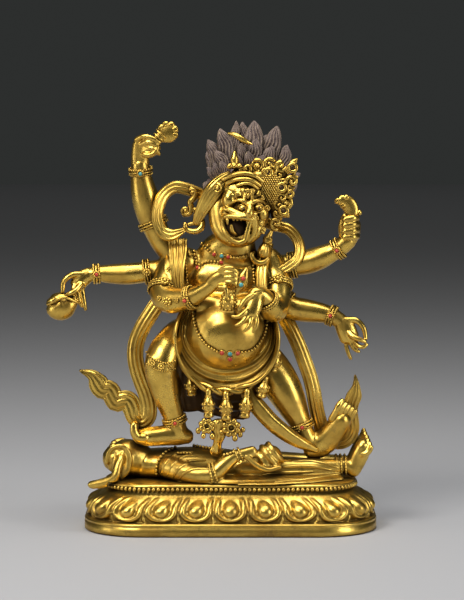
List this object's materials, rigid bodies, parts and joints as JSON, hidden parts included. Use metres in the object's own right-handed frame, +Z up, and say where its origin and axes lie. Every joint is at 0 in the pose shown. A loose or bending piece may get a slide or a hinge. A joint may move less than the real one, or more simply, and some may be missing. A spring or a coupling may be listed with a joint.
{
  "type": "mahakala figure",
  "caption": "Gilt-bronze six-armed guardian deity standing on an elephant-headed figure that lies on an oblong lotus plinth.",
  "frame": {"origin": "middle of the plinth's underside", "axes": "+Z up, +X to the viewer's right, -Y towards the viewer"},
  "size_m": [0.1653, 0.074, 0.2036],
  "materials": {
    "worn_gilt": "fire-gilt bronze, rubbed and darkened in the hollows",
    "worn_gilt_figure": "fire-gilt bronze, rubbed and darkened in the hollows",
    "fire_gilt": "burnished fire-gilt bronze with dark hollows",
    "painted_hair": "old matt purplish-brown paint over engraved bronze",
    "dark_bronze": "darkened bare bronze in mouth, sockets and inner folds",
    "coral": "polished coral",
    "turquoise": "polished turquoise"
  },
  "bodies": {
    "root": {"lotus_plinth": "worn_gilt", "elephant_headed_figure": "worn_gilt_figure", "mahakala_figure": "fire_gilt"}
  },
  "joints": []
}
